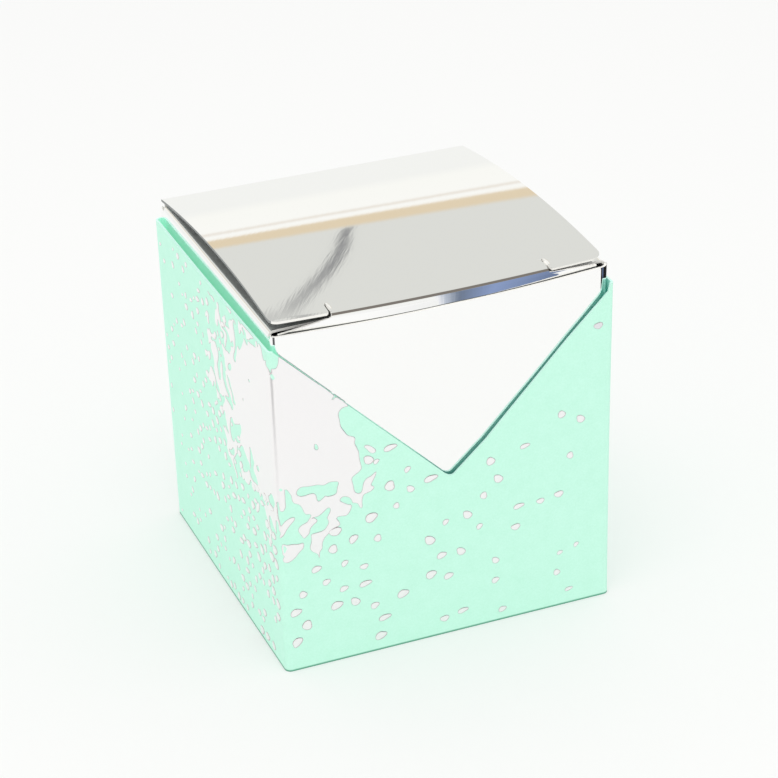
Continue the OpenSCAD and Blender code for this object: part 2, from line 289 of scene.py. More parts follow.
def folded_sheet(name, flat, triangles, place, thickness, materials, rolled=None, in_shade=None):
    """Closed sheet of card: outer face, inner face and cut edge, each with its material."""
    outer, normal = surface(place, flat)
    inner = outer - normal * thickness
    count = len(flat)
    points, faces, normals, slots = [*outer, *inner], [], [], []
    for a, b, c in triangles:
        faces += [(a, b, c), (a + count, c + count, b + count)]
        normals += [normal[a], normal[b], normal[c], -normal[a], -normal[c], -normal[b]]
        slots += [0, 1]
    rolls = {}
    turns = np.linspace(0, math.pi, ROLL_STEPS + 1)
    for a, b in open_edges(triangles):
        side = np.cross(outer[b] - outer[a], normal[a] + normal[b])
        side /= np.linalg.norm(side)
        if rolled is None or not rolled(flat[a], flat[b]):
            faces.append((b, a, a + count, b + count))
            normals += [side] * 4
            # slot 3 is the cut edge in painted shade, used where the given test holds
            slots.append(3 if in_shade is not None and in_shade(flat[a], flat[b]) else 2)
            continue
        for k in (a, b):
            if k not in rolls:
                rolls[k] = [k]
                for turn in turns[1:-1]:
                    aim = normal[k] * math.cos(turn) + side * math.sin(turn)
                    points.append((outer[k] + inner[k]) / 2 + aim * thickness / 2)
                    rolls[k].append(len(points) - 1)
                rolls[k].append(k + count)
        for step, turn in enumerate(turns[:-1]):
            corners = ((b, 0), (a, 0), (a, 1), (b, 1))
            faces.append(tuple(rolls[k][step + more] for k, more in corners))
            for k, more in corners:
                angle = turn + more * math.pi / ROLL_STEPS
                normals.append(normal[k] * math.cos(angle) + side * math.sin(angle))
            slots.append(0)
    return make_mesh(name, points, faces, normals, slots, materials)


# %% [markdown]
# ## Materials
# Three finishes make the whole box: mirror foil, plain paper, and mint card.
# The paper fibres and the foil's fine ridges appear in several of them, so
# each is one node group with named inputs that gives a height and a shade.

# %% Helpers for node trees
def set_inputs(tree, node, inputs):
    """Joins a node's inputs to other sockets, or sets them to plain values."""
    for label, value in inputs.items():
        if hasattr(value, "links"):
            tree.links.new(value, node.inputs[label])
        else:
            node.inputs[label].default_value = value


def add_node(tree, kind, inputs, **settings):
    """A shader node with its settings, and its inputs by name or number."""
    node = tree.nodes.new("ShaderNode" + kind)
    for label, value in settings.items():
        setattr(node, label, value)
    set_inputs(tree, node, inputs)
    return node


def object_place(tree):
    """The place on the object, in metres."""
    return add_node(tree, "TexCoord", {}).outputs["Object"]


def axes(tree, vector):
    """The three numbers of a vector, by the names X, Y and Z."""
    return add_node(tree, "SeparateXYZ", {"Vector": vector}).outputs


def math_node(tree, operation, first, second=None):
    """A Math node fed by sockets or plain numbers."""
    inputs = {0: first} if second is None else {0: first, 1: second}
    return add_node(tree, "Math", inputs, operation=operation).outputs[0]


def chain(tree, value, *steps):
    """A value worked through Math nodes, one after another."""
    for operation, second in steps:
        value = math_node(tree, operation, value, second)
    return value


def fade_node(tree, value, start, end, kind="LINEAR"):
    """Zero at the start value, one at the end value, and a rise between."""
    inputs = {"Value": value, "From Min": start, "From Max": end}
    return add_node(tree, "MapRange", inputs, interpolation_type=kind).outputs["Result"]


def colour_mix(tree, share, first, second):
    """The first colour where the share is zero, the second where it is one."""
    return add_node(tree, "Mix", {0: share, 6: first, 7: second}, data_type="RGBA").outputs[2]


def colour_ramp(tree, value, stops, kind="LINEAR"):
    """Colours along a value; each stop is a place and a colour."""
    node = add_node(tree, "ValToRGB", {"Fac": value})
    node.color_ramp.interpolation = kind
    for _ in stops[2:]:
        node.color_ramp.elements.new(0.5)
    for element, (position, colour) in zip(node.color_ramp.elements, stops):
        element.position, element.color = position, (*colour, 1)
    return node.outputs["Color"]


def grey_ramp(tree, value, stops, kind="LINEAR"):
    """Numbers along a value, as a ramp of greys."""
    return colour_ramp(tree, value, [(at, (grey,) * 3) for at, grey in stops], kind)


# %% Shader groups
def shader_group(name, inputs, outputs):
    """An empty shader node group with named sockets."""
    group = bpy.data.node_groups.new(name, "ShaderNodeTree")
    for label, default in inputs.items():
        socket = group.interface.new_socket(label, in_out="INPUT", socket_type="NodeSocketFloat")
        socket.default_value = default
    for label in outputs:
        group.interface.new_socket(label, in_out="OUTPUT", socket_type="NodeSocketFloat")
    return group, group.nodes.new("NodeGroupInput").outputs, group.nodes.new("NodeGroupOutput")


def noise_node(tree, vector, scale, detail):
    """A Noise Texture; its scale is counted per metre."""
    inputs = {"Vector": vector, "Scale": scale, "Detail": detail}
    return add_node(tree, "TexNoise", inputs).outputs["Fac"]


FIBRES, EDGE_FIBRES, FOIL_FIBRES = 3600.0, 6000.0, 2400.0  # fibres per metre
paper_grain, given, result = shader_group(
    "paper_grain", {"Fibres per metre": FIBRES, "Mottle per metre": 420.0}, ["Height", "Shade"]
)
coords = object_place(paper_grain)
fibres = noise_node(paper_grain, coords, given["Fibres per metre"], 3.0)
mottle = noise_node(paper_grain, coords, given["Mottle per metre"], 4.0)
for label, fine, coarse in (("Height", 1.0, 0.6), ("Shade", 0.6, 0.4)):
    fine_part = math_node(paper_grain, "MULTIPLY", fibres, fine)
    coarse_part = math_node(paper_grain, "MULTIPLY", mottle, coarse)
    set_inputs(paper_grain, result, {label: math_node(paper_grain, "ADD", fine_part, coarse_part)})

foil_ridges, given, result = shader_group(
    "foil_ridges", {"Ridges per metre": 2700.0, "Waviness per metre": 60.0}, ["Height", "Ripple"]
)
coords = object_place(foil_ridges)
slant = {"Vector": coords, "Rotation": (0, 0, math.radians(36))}
turned = add_node(foil_ridges, "Mapping", slant).outputs["Vector"]
stretched = add_node(foil_ridges, "Mapping", {"Vector": turned, "Scale": (1, 0.12, 0.12)})
ridges = noise_node(foil_ridges, stretched.outputs["Vector"], given["Ridges per metre"], 1.0)
waves = noise_node(foil_ridges, coords, given["Waviness per metre"], 1.0)
set_inputs(foil_ridges, result, {"Height": ridges, "Ripple": waves})
print("groups", [g.name for g in bpy.data.node_groups])


# %% Helpers for a material
def new_material(name):
    """A material, the tree to add to and its Principled shader."""
    material = bpy.data.materials.new(name)
    material.use_nodes = True
    return material, material.node_tree, material.node_tree.nodes["Principled BSDF"]


def add_bump(tree, shader, height, depth, under=None):
    """Feeds a height into the shader's normal, depth in metres."""
    inputs = {"Height": height, "Distance": depth}
    if under is not None:
        inputs["Normal"] = under
    normal = add_node(tree, "Bump", inputs).outputs["Normal"]
    set_inputs(tree, shader, {"Normal": normal})
    return normal


# %% [markdown]
# All the card is one recipe with other colours: two near shades that drift
# with the fibres, a dull surface and a bump as deep as paper is rough. The
# sleeve's card has one thing more, a thin dark line of painted shade where it
# meets the floor, for the cut edge there seen through the shade under it.

# %% Paper and card finishes
FOOT_SHADE_SPAN = 0.00036, 0.00016  # metres above the floor where the painted shade at the foot starts and is full


def paper(name, dark, light, roughness, depth, foot_shade=None, fibres=FIBRES):
    """Uncoated card with visible fibres; foot_shade is the colour of a thin line of painted shade just
    above the floor.
    """
    material, tree, shader = new_material(name)
    grain = add_node(tree, "Group", {"Fibres per metre": fibres}, node_tree=paper_grain)
    colour = colour_ramp(tree, grain.outputs["Shade"], [(0.3, dark), (0.7, light)])
    if foot_shade is not None:
        # painted shade: the card darkens to the foot colour in a thin line just above the floor
        foot_shade_mask = fade_node(tree, axes(tree, object_place(tree))["Z"], *FOOT_SHADE_SPAN)
        colour = colour_mix(tree, foot_shade_mask, colour, (*foot_shade, 1))
    add_bump(tree, shader, grain.outputs["Height"], depth)
    look = {"Base Color": colour, "Roughness": roughness, "Specular IOR Level": 0.3}
    set_inputs(tree, shader, look)
    return material


# the foot colour is painted shade along the sleeve's bottom edge
mint_card = paper(
    "mint_card", (0.53, 0.905, 0.735), (0.59, 0.95, 0.80), 0.62, 6e-6, foot_shade=(0.10, 0.36, 0.24)
)
# painted shade: the card's inner face is dark grey, darker than its white core, for the shade inside
# the box and under the lid
shaded_inner_card = paper("shaded_inner_card", (0.36, 0.38, 0.38), (0.43, 0.45, 0.44), 0.8, 1e-5)
mint_edge, shaded_core_edge, paper_core = (
    paper(*look, fibres=EDGE_FIBRES)
    for look in (
        ("mint_card_edge", (0.60, 0.95, 0.84), (0.68, 0.98, 0.90), 0.8, 8e-6),
        # painted shade: a dark copy of the core colour, for cut edges that face away from the light
        ("shaded_card_edge", (0.24, 0.25, 0.25), (0.32, 0.33, 0.33), 0.8, 1e-5),
        ("paper_core", (0.86, 0.85, 0.81), (0.94, 0.93, 0.90), 0.85, 1e-5),
    )
)

# %% [markdown]
# Thin card lets some light through. The light falls on the sleeve's left, so
# its inside shines a little green there, and hardly at all on the right. A
# transmission setup would be slow and noisy for so thin a sheet, so the
# inside gets a faint emission that fades from left to right.

# %% Light through the sleeve's card
GLOW_FADE = -0.002, -0.006  # metres across the sleeve
mint_inside = paper("mint_card_inside", (0.42, 0.88, 0.74), (0.48, 0.92, 0.80), 0.7, 6e-6)
tree = mint_inside.node_tree
leftness = fade_node(tree, axes(tree, object_place(tree))["X"], *GLOW_FADE)
glow = colour_mix(tree, leftness, (0.0, 0.07, 0.07, 1), (0.28, 0.60, 0.42, 1))
shader = tree.nodes["Principled BSDF"]
set_inputs(tree, shader, {"Emission Color": glow, "Emission Strength": 0.42})

# %% [markdown]
# Mirror foil card is a thin bright metal film on paper. It keeps a faint
# print of the rollers, fine slanting ridges that only show where a
# reflection changes, and a very slight waviness. Both are bumps of a few
# thousandths of a millimetre on a metal with little roughness.

# %% Mirror foil
mirror_foil, tree, shader = new_material("mirror_foil")
relief = add_node(tree, "Group", {}, node_tree=foil_ridges).outputs
wavy = add_bump(tree, shader, relief["Ripple"], 5e-6)
add_bump(tree, shader, relief["Height"], 1.2e-6, wavy)
set_inputs(tree, shader, {"Base Color": (0.975, 0.975, 0.97, 1), "Metallic": 1.0, "Roughness": 0.035})

# %% [markdown]
# The spattered foil lies on rough card, so it is far less sharp. The face
# attribute `foil_rim_shade`, made with each plate, is one on the slanting rim.
# There the rim is painted a darker pinkish grey, as painted shade on the pressed edge.

# %% Spattered foil
spatter_foil, tree, shader = new_material("spatter_foil")
rim_shade_mask = tree.nodes.new("ShaderNodeAttribute")
rim_shade_mask.attribute_name = "foil_rim_shade"
# painted shade: the slanting rim takes a darker pinkish grey than the foil's face
rim_shade_tone = colour_ramp(tree, rim_shade_mask.outputs["Fac"], [(0, (0.94, 0.925, 0.93)), (1, (0.66, 0.59, 0.61))])
grain = add_node(tree, "Group", {"Fibres per metre": FOIL_FIBRES}, node_tree=paper_grain)
add_bump(tree, shader, grain.outputs["Height"], 6e-6)
set_inputs(tree, shader, {"Base Color": rim_shade_tone, "Metallic": 1.0, "Roughness": 0.28})
print("materials", [m.name for m in bpy.data.materials])

# %% [markdown]
# ## The sleeve
# The sleeve is one strip with four folds, and a tab glued inside the right
# wall. Seen from above its path starts at the tab's free end and goes round
# to the raw edge that covers it. The V is part of the blank's outline. Its
# right side was cut with a slight curve. The walls of an open sleeve bow out
# a little between their folds, most at the top.

# %% The sleeve's path and blank
half_s = SLEEVE_W / 2
tab_x = half_s - SLEEVE_T - GLUE_GAP
RAW_EDGE = 0.25
TAB_LENGTH = 11.0
sleeve_plan = FoldPath(
    (tab_x, half_s - FOLD_R - TAB_LENGTH),
    90,
    runs(
        [
            TAB_LENGTH,
            tab_x + half_s - 2 * FOLD_R,
            SLEEVE_W - 2 * FOLD_R,
            SLEEVE_W - 2 * FOLD_R,
            SLEEVE_W - FOLD_R - RAW_EDGE,
        ]
    ),
    SLEEVE_T,
)
tab_end, back_from, back_to, left_from, left_to, *rest = sleeve_plan.marks()[1:]
front_from, front_to, right_from, right_to = rest
FOLD_LINE = (left_to + front_from) / 2


def front_s(x):
    """Place on the sleeve's blank for a place across its front wall."""
    flat = half_s - FOLD_R
    bend = np.clip((abs(x) - flat) / FOLD_R, 0, 1)
    past = math.asin(bend) * (FOLD_R - SLEEVE_T / 2)
    middle = (front_from + front_to) / 2
    return middle + math.copysign(min(abs(x), flat) + past, x)


V_RIGHT = [
    (25.62, SLEEVE_H), (25.2, 50.75), (24.4, 49.95), (18.9, 44.6),
    (14.1, 39.6), (9.4, 34.75), (6.0, 31.2), (1.0, 26.8),
]
V_LEFT = [(0.72, 26.68), (0.25, 26.72), (-0.3, 27.05), (-0.9, 27.65), (-25.6, SLEEVE_H)]
sleeve_outline = [
    (0.0, 3.5),
    (tab_end - 0.3, 2.0),
    (tab_end, 0.0),
    (right_to, 0.0),
    (right_to, SLEEVE_H),
    *[(front_s(x), z) for x, z in V_RIGHT + V_LEFT],
    (tab_end, SLEEVE_H),
    (tab_end - 0.3, SLEEVE_H - 2.0),
    (0.0, SLEEVE_H - 3.5),
]
print(f"blank {right_to:.1f} mm long, fold line at {FOLD_LINE:.1f} mm")

# %% Fold the sleeve
SLEEVE_BOWS = [(back_from, back_to, 0.25), (left_from, left_to, 0.12), (right_from, right_to, 0.2)]
BOW_AT_FOOT = 0.25  # share of a bow that is left at the floor
V_BOW = 0.06  # how far the card right of the V stands out


def sleeve_place(flat):
    """Where a point of the sleeve's blank lies once it is folded."""
    s, z = flat[:, 0], flat[:, 1]
    plan, out = sleeve_plan.at(s)
    swell = np.zeros(len(s))
    height = BOW_AT_FOOT + (1 - BOW_AT_FOOT) * (np.clip(z, 0, SLEEVE_H) / SLEEVE_H) ** 2
    for low, high, depth in SLEEVE_BOWS:
        share = np.clip((s - low) / (high - low), 0, 1)
        swell += depth * np.sin(math.pi * share) ** 2 * height
    x = s - (front_from + front_to) / 2
    share = np.clip(x / (half_s - FOLD_R), 0, 1)
    swell += V_BOW * np.sin(math.pi * share) * np.clip((z - 8) / 28, 0, 1) ** 2 * (s < front_to)
    place = np.column_stack([plan + out * swell[:, None], z])
    place[:, 0] += TOP_FLARE * np.clip(place[:, 0] / half_s, 0, 1) ** 2 * np.clip(z / BOX_H, 0, 1) ** 2
    return place


sleeve_rows = sleeve_plan.lines(4.0, 10)
flat, triangles = cut_blank(sleeve_outline, sleeve_rows, np.arange(2.0, SLEEVE_H, 4.0))
sleeve_finish = [mint_card, mint_inside, mint_edge]
sleeve = folded_sheet("sleeve_card", flat, triangles, sleeve_place, SLEEVE_T, sleeve_finish)
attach(sleeve, "sleeve_part")
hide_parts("sleeve")

# %% [markdown]
# ## The box
# The box is one sheet too. Its four walls follow a path seen from above, as
# the sleeve's do, and its flaps and base follow a second path seen from the
# side: up the wall from the flap below to the flap above.

# %% The box's two paths
half_b = BOX_W / 2
SOFT_R = 1.5  # the front-right fold has opened a little
WALL_FOOT = 1.4  # the side walls stop above the base panel
FRONT_TOP = BOX_H - 0.4
BACK_TOP = BOX_H - 0.03
DUST_REACH = 19.0
DUST_TAPER = 7.0
RELIEF = 0.5  # side clearance of the base panel's tab
TAB_FACE = half_b - CARD_T - 0.1
BASE_TAB = 11.0
GLUE_FLAP = 11.1
box_plan = FoldPath(
    (-half_b, half_b - RAW_EDGE),
    -90,
    runs(
        [
            BOX_W - RAW_EDGE - FOLD_R,
            BOX_W - FOLD_R - SOFT_R,
            BOX_W - FOLD_R - SOFT_R,
            BOX_W - 2 * FOLD_R - CARD_T - GLUE_GAP,
            GLUE_FLAP,
        ],
        [FOLD_R, SOFT_R, FOLD_R, FOLD_R],
    ),
    CARD_T,
)
l_end, f_from, f_to, r_from, r_to, b_from, b_to, g_from, g_end = box_plan.marks()[1:]
ARC = (FOLD_R - CARD_T / 2) * math.pi / 2
dust_run = DUST_REACH - FOLD_R
side_rise = FoldPath(
    (half_b - DUST_REACH, WALL_FOOT - FOLD_R),
    0,
    runs([dust_run, BOX_H - FOLD_R - WALL_FOOT, dust_run]),
    CARD_T,
    WALL_FOOT - ARC - dust_run,
)
base_run = half_b - FOLD_R + TAB_FACE - FOLD_R
back_rise = FoldPath(
    (-TAB_FACE, BASE_TAB),
    -90,
    runs([BASE_TAB - FOLD_R, base_run, BACK_TOP - FOLD_R]),
    CARD_T,
    FOLD_R - 2 * ARC - base_run - (BASE_TAB - FOLD_R),
)
print(f"box blank {g_end:.1f} mm long, flaps reach {side_rise.begin:.1f} to {side_rise.end:.1f} mm")

# %% Spread of the box's right side
FRONT_SPREAD = 0.32  # how much further the box has spread at its front


def flared(points):
    """The card a little wider at the top of its right side, most at the front."""
    across = np.clip(points[:, 0] / half_s, 0, 1)
    spread = TOP_FLARE + FRONT_SPREAD * np.clip((10 - points[:, 1]) / 24, 0, 1)
    points[:, 0] += spread * across**2 * np.clip(points[:, 2] / BOX_H, 0, 1) ** 2
    return points


# %% The box's blank
FLAP_ENDS = (24.0, -23.8)  # places of a dust flap's back and front end along the side wall
DUST_CORNER = 4.0  # radius of a dust flap's front corner
BASE_CORNER = 3.0  # radius of the base tab's corners
DIP = 0.35  # how far the front's top edge is cut down in its middle
top_hinge = BOX_H - FOLD_R
base_low = back_rise.begin
base_fold = FOLD_R - ARC - base_run


def side_s(y, right):
    """Place on the box's blank for a place along a side wall."""
    return r_from + y + half_b - SOFT_R if right else half_b - RAW_EDGE - y


def dust_flap(right, hinge_t, way):
    """Outline of a side's dust flap from its back end to its front end; way is 1 up, -1 down."""
    rear, fore = (side_s(y, right) for y in FLAP_ENDS)
    ahead = math.copysign(1, fore - rear)
    base, tip = hinge_t + way * ARC, hinge_t + way * (ARC + dust_run)
    return [
        (rear, hinge_t),
        (rear, base + way * DUST_TAPER / 3),
        (rear + ahead * DUST_TAPER / 3, tip - way * DUST_TAPER / 2),
        (rear + ahead * DUST_TAPER, tip),
        *rounded((fore, tip), (rear, tip), (fore, base), DUST_CORNER),
        (fore, hinge_t),
    ]


def front_dip(share):
    """Point of the front wall's top edge, from its right end to its left."""
    return f_to - share * (f_to - f_from), FRONT_TOP - DIP * math.sin(math.pi * share)


base_from, base_to = b_from + 0.2, b_to - 0.1
tab_from, tab_to = base_from + RELIEF, base_to - RELIEF
box_outline = [
    (0.0, WALL_FOOT),
    *dust_flap(False, WALL_FOOT, -1),
    (l_end, WALL_FOOT),
    (f_from, WALL_FOOT),
    (f_from, 0.0),
    (f_to, 0.0),
    (f_to, WALL_FOOT),
    (r_from, WALL_FOOT),
    *dust_flap(True, WALL_FOOT, -1)[::-1],
    (r_to, WALL_FOOT),
    (base_from, WALL_FOOT),
    (base_from, base_fold),
    (tab_from, base_fold - ARC),
    *rounded((tab_from, base_low), (tab_from, base_fold), (b_to, base_low), BASE_CORNER),
    *rounded((tab_to, base_low), (b_from, base_low), (tab_to, base_fold), BASE_CORNER),
    (tab_to, base_fold - ARC),
    (base_to, base_fold),
    (base_to, WALL_FOOT),
    (g_from, WALL_FOOT),
    (g_from + 0.2, WALL_FOOT + 3),
    (g_end, WALL_FOOT + 5.5),
    (g_end, BOX_H - 5.5),
    (g_from + 0.2, BOX_H - 3),
    (g_from, BACK_TOP),
    (r_to + 0.01, BACK_TOP),
    (r_to, BACK_TOP - 0.4),
    *dust_flap(True, top_hinge, 1),
    (r_from, FRONT_TOP),
    *[front_dip(k / 12) for k in range(13)],
    (l_end, FRONT_TOP),
    *dust_flap(False, top_hinge, 1)[::-1],
    (0.0, BACK_TOP - 0.4),
]
print("box outline", len(box_outline), "points")

# %% [markdown]
# The lid's tuck flap presses the front wall out at the top, and its weight
# lets the front-left corner sink a little. Both are added while the blank is
# folded, so the cut edges and the folds stay as they are.

# %% Fold the box
FRONT_BULGE = 1.4
CORNER_LOW = 0.7
BULGE_FOOT = 24.0  # the height at which the bulge starts


def box_place(flat):
    """Where a point of the box's blank lies once it is folded."""
    s, t = flat[:, 0], flat[:, 1]
    plan, out = box_plan.at(s)
    shift, height = np.zeros(len(s)), t.copy()
    on_side = (s < l_end) | ((s > r_from) & (s < r_to))
    on_back = (s > b_from) & (s < b_to)
    for here, rise in ((on_side, side_rise), (on_back, back_rise)):
        side, _ = rise.at(t)
        shift = np.where(here, side[:, 0] - half_b, shift)
        height = np.where(here, side[:, 1], height)
    on_front = (s > f_from) & (s < f_to)
    across = np.clip((s - f_from) / (f_to - f_from), 0, 1)
    rise = np.clip((t - BULGE_FOOT) / (FRONT_TOP - BULGE_FOOT), 0, 1.05)
    shift = np.where(on_front, FRONT_BULGE * np.sin(math.pi * across) * rise**2, shift)
    place = np.column_stack([plan + out * shift[:, None], height])
    leftward, forward = np.clip((-place[:, 0] / half_b, 0.7 - 0.4 * place[:, 1] / half_b), 0, 1)
    place[:, 2] -= CORNER_LOW * leftward * forward * np.clip(place[:, 2] / BOX_H, 0, 1) ** 3
    return flared(place + (BOX_ASIDE, 0, 0))


box_rows = box_plan.lines(4.0, 8)
box_levels = sorted({round(v, 4) for v in side_rise.lines(5.0, 8) + back_rise.lines(6.0, 8)})
flat, triangles = cut_blank(box_outline, box_rows, box_levels)
foil_card = [mirror_foil, shaded_inner_card, paper_core]
box = folded_sheet("box_card", flat, triangles, box_place, CARD_T, foil_card)
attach(box, "box_part")
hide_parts("inner_box")

# %% [markdown]
# ## The lid
# The lid goes on from the back wall's top: a rolled crease, a bowed panel, a
# round front fold and the tuck flap. Two slits free the ends of the front
# fold, so the panel's corners stay straight as lips above the flap's
# shoulders, and each slit ends in a short cut back into the panel. In the
# blank, the lips and the fold lie on either side of the slit, and only the
# points of the fold are bent.

# %% The lid's side view
HINGE = np.array([half_b - CARD_T / 2, BOX_H + 0.1 + CARD_T / 2])
LID_RISE = 1.3  # height of the front fold's top above the side walls
LID_BOW = 1.45  # height of the panel's arch
TUCK_LEAN = 8.0  # degrees by which the tuck flap leans inwards
TUCK_LEN = 11.5
SLIT_LEN = 9.0
SLIT_W = 0.3
SLIT_LIP = 0.6
HOOK_LEN = 2.4  # length of the short cut back into the panel
slit_start = half_b - SLIT_LEN
fold_mid = FOLD_R - CARD_T / 2
lean = math.radians(TUCK_LEAN)
fold_z = BOX_H + LID_RISE - FOLD_R
flap_rise = fold_z - FOLD_R * math.sin(lean) - FRONT_TOP
fold_y = -half_b + CARD_T + 0.2 + FOLD_R * math.cos(lean) - flap_rise * math.tan(lean)
chord = np.array([fold_y, fold_z]) - HINGE
reach = np.linalg.norm(chord)
arc_r = reach**2 / (8 * LID_BOW) + LID_BOW / 2
near_r = arc_r - fold_mid
along = (arc_r**2 - near_r**2 + reach**2) / (2 * reach)
below = math.sqrt(arc_r**2 - along**2)
chord /= reach
arc_centre = HINGE + along * chord + below * np.array([-chord[1], chord[0]])
crease_angle = math.atan2(*(HINGE - arc_centre)[::-1])
front_angle = math.atan2(*(np.array([fold_y, fold_z]) - arc_centre)[::-1])
crease_way = np.array([math.cos(crease_angle), math.sin(crease_angle)])
lid_start = arc_centre + (arc_r + CARD_T / 2) * crease_way
lid_heading = math.degrees(crease_angle) + 90
arch_turn = math.degrees(front_angle - crease_angle)
lid_side = FoldPath(
    lid_start,
    lid_heading,
    [
        ("turn", arc_r + CARD_T / 2, arch_turn),
        ("turn", FOLD_R, 180 + TUCK_LEAN - math.degrees(front_angle)),
        ("run", TUCK_LEN),
    ],
    CARD_T,
)
lip_path = FoldPath(lid_start, lid_heading, [("turn", arc_r + CARD_T / 2, arch_turn + 1)], CARD_T)
_, panel_end, fold_end, tuck_end = lid_side.marks()
print(f"panel {panel_end:.2f} mm, fold {fold_end - panel_end:.2f} mm, arch radius {arc_r:.0f} mm")

# %% Cut and fold the lid
lid_half = half_b - 0.2
tuck_half = half_b - CARD_T - 0.8
lip_front = panel_end + SLIT_LIP
shoulder_top = lip_front + SLIT_W
SHOULDER_DROP = 1.3
hook_back = lip_front - HOOK_LEN


def lid_half_outline(drop):
    """Outline of the lid on one side of its middle, from the crease's end to the flap's free end."""
    return [
        *rounded((lip_front, lid_half), (0.0, lid_half), (lip_front, 0.0), 1.5),
        (lip_front, slit_start + SLIT_W + 0.4),
        (lip_front - 0.35, slit_start + SLIT_W + 0.05),
        (hook_back, slit_start + SLIT_W),
        (hook_back - 0.12, slit_start + SLIT_W / 2),
        (hook_back, slit_start),
        (lip_front - 0.2, slit_start),
        (shoulder_top, slit_start + 0.15),
        (shoulder_top + drop, tuck_half),
        *rounded((tuck_end, tuck_half), (panel_end, tuck_half), (tuck_end, 0.0), 7.0, 10),
    ]


right_half, left_half = lid_half_outline(0.5), lid_half_outline(SHOULDER_DROP)
lid_outline = right_half + [(s, -x) for s, x in left_half[::-1]] + [(0.0, -lid_half), (0.0, lid_half)]
FOLD_BOW = 1.0  # how far the front fold's middle bows forward
FLAP_BOW = 1.55
CORNER_SAG = 0.35  # how much lower the lid lies at its left front corner
CURL = 0.22  # how far the cut edges beside the slits stand up
LIP_DROP = 0.3  # how far the right lip's front edge points down


def eased(value, low, high):
    """Zero below low, one above high, and a smooth rise between."""
    share = np.clip((value - low) / (high - low), 0, 1)
    return share * share * (3 - 2 * share)


def across_lid(x):
    """Share of the bow for a place across the lid, one in the middle."""
    return np.cos(math.pi / 2 * np.clip(np.abs(x) / (half_b - FOLD_R), 0, 1))


def lid_place(flat):
    """Where a point of the lid's blank lies once it is folded."""
    s, x = flat[:, 0], flat[:, 1]
    side, _ = lid_side.at(s)
    lip, _ = lip_path.at(s)
    beside = np.abs(x) > slit_start + SLIT_W / 2
    free = beside & (s < lip_front + SLIT_W / 2)
    side = np.where(free[:, None], lip, side)
    ahead = np.clip((s - panel_end * 0.45) / (panel_end * 0.55), 0, 1) ** 2
    down = np.clip((s - fold_end + 0.2) / 1.5, 0, 1)
    fade = 1 - np.clip((s - fold_end - 3) / (tuck_end - fold_end - 3), 0, 1) ** 2
    bow = across_lid(x) * (FOLD_BOW * ahead + (FLAP_BOW - FOLD_BOW) * down) * fade
    past_cut = x - np.where(x < 0, -slit_start, slit_start + SLIT_W)
    near_cut = (past_cut > -SLIT_W / 2) & (np.abs(past_cut) < 1)
    curl = CURL * np.where(near_cut, np.clip(1 - past_cut / 0.7, 0, 1) ** 2, 0)
    lift = curl * eased(s, hook_back - 0.3, hook_back + 0.7)
    lift *= 1 - eased(s, panel_end - 0.2, panel_end + 0.2)
    lift -= CORNER_SAG * ahead * (0.5 - x / (2 * half_b))
    lift -= LIP_DROP * np.where(free & (x > 0), np.clip((s - lip_front + 0.9) / 0.9, 0, 1) ** 2, 0)
    return np.column_stack([x + BOX_ASIDE, side[:, 0] - bow, side[:, 1] + lift])


lid_rows = lid_side.lines(2.0, 10)
lid_rows += [hook_back - 0.3, hook_back, hook_back + 0.7]
lid_rows += [lip_front - 0.9, lip_front - 0.6, lip_front - 0.3, lip_front]
lid_rows += [fold_end + 0.25 * k for k in range(1, 9)]
lid_columns = list(np.linspace(-lid_half, lid_half, 25)[1:-1])
lid_columns += [edge + step for edge in (-slit_start, slit_start + SLIT_W) for step in (0.2, 0.4, 0.7)]
flat, triangles = cut_blank(lid_outline, lid_rows, lid_columns)
# the lid's side edges get the cut edge in painted shade
lid = folded_sheet(
    "lid_card", flat, triangles, lid_place, CARD_T, foil_card + [shaded_core_edge],
    rolled=lambda p, q: p[0] < TINY and q[0] < TINY,
    in_shade=lambda p, q: min(abs(p[1]), abs(q[1])) > lid_half - 0.3,
)
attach(lid, "lid_part")
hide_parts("lid")

# %% [markdown]
# ## The foil spatter
# Hot foil is pressed onto the flat blank before it is folded, so the pattern
# is drawn on the blank too. A number is worked out for every place: high
# near the fold, falling away from it, with seeded noise added. Where it is
# above zero there is foil, which gives a solid field with a ragged,
# coral-like edge. The outline is traced on a fine grid, and each patch of foil
# becomes a thin closed plate with a slanting rim.

# %% Noise on the blank
def smooth_noise(points, size, seed):
    """Soft random numbers from -1 to 1 that change over about one size."""
    table = np.random.default_rng(seed).uniform(-1, 1, (97, 97))
    cell = points / size
    whole = np.floor(cell).astype(int)
    part = cell - whole
    part = part * part * (3 - 2 * part)
    i, j = whole[..., 0] % 96, whole[..., 1] % 96
    u, v = part[..., 0], part[..., 1]
    low = table[i, j] * (1 - u) + table[i + 1, j] * u
    high = table[i, j + 1] * (1 - u) + table[i + 1, j + 1] * u
    return low * (1 - v) + high * v


def coral(points):
    """Noise with ridges and holes of the spatter's own size, finer on the left wall."""
    bend = np.stack([smooth_noise(points, 2.6, 33), smooth_noise(points, 2.6, 34)], -1)
    spots = (points + 1.3 * bend) / np.where(points[..., :1] > 0, 1.0, 0.72)
    return smooth_noise(spots, 2.1, 35) + 0.5 * smooth_noise(spots, 1.2, 36)


FIELD_Z = 39.0  # height of the field's middle
ON_FRONT = {"side": 13.4, "above": 24.0, "below": 16.6}  # how far the field reaches
ON_LEFT = {"side": 24.0, "above": 16.0, "below": 14.5}
FIELD_FALL = [0, 0.58, 0.79, 1.16, 1.4], [1.6, 0.95, 0.04, -0.2, -1.5]
BARE_PATCH = 0.5, 51.0, 0.9, 2.4  # place and size of a bare patch at the fold's top
BARE_DEPTH = 2.4


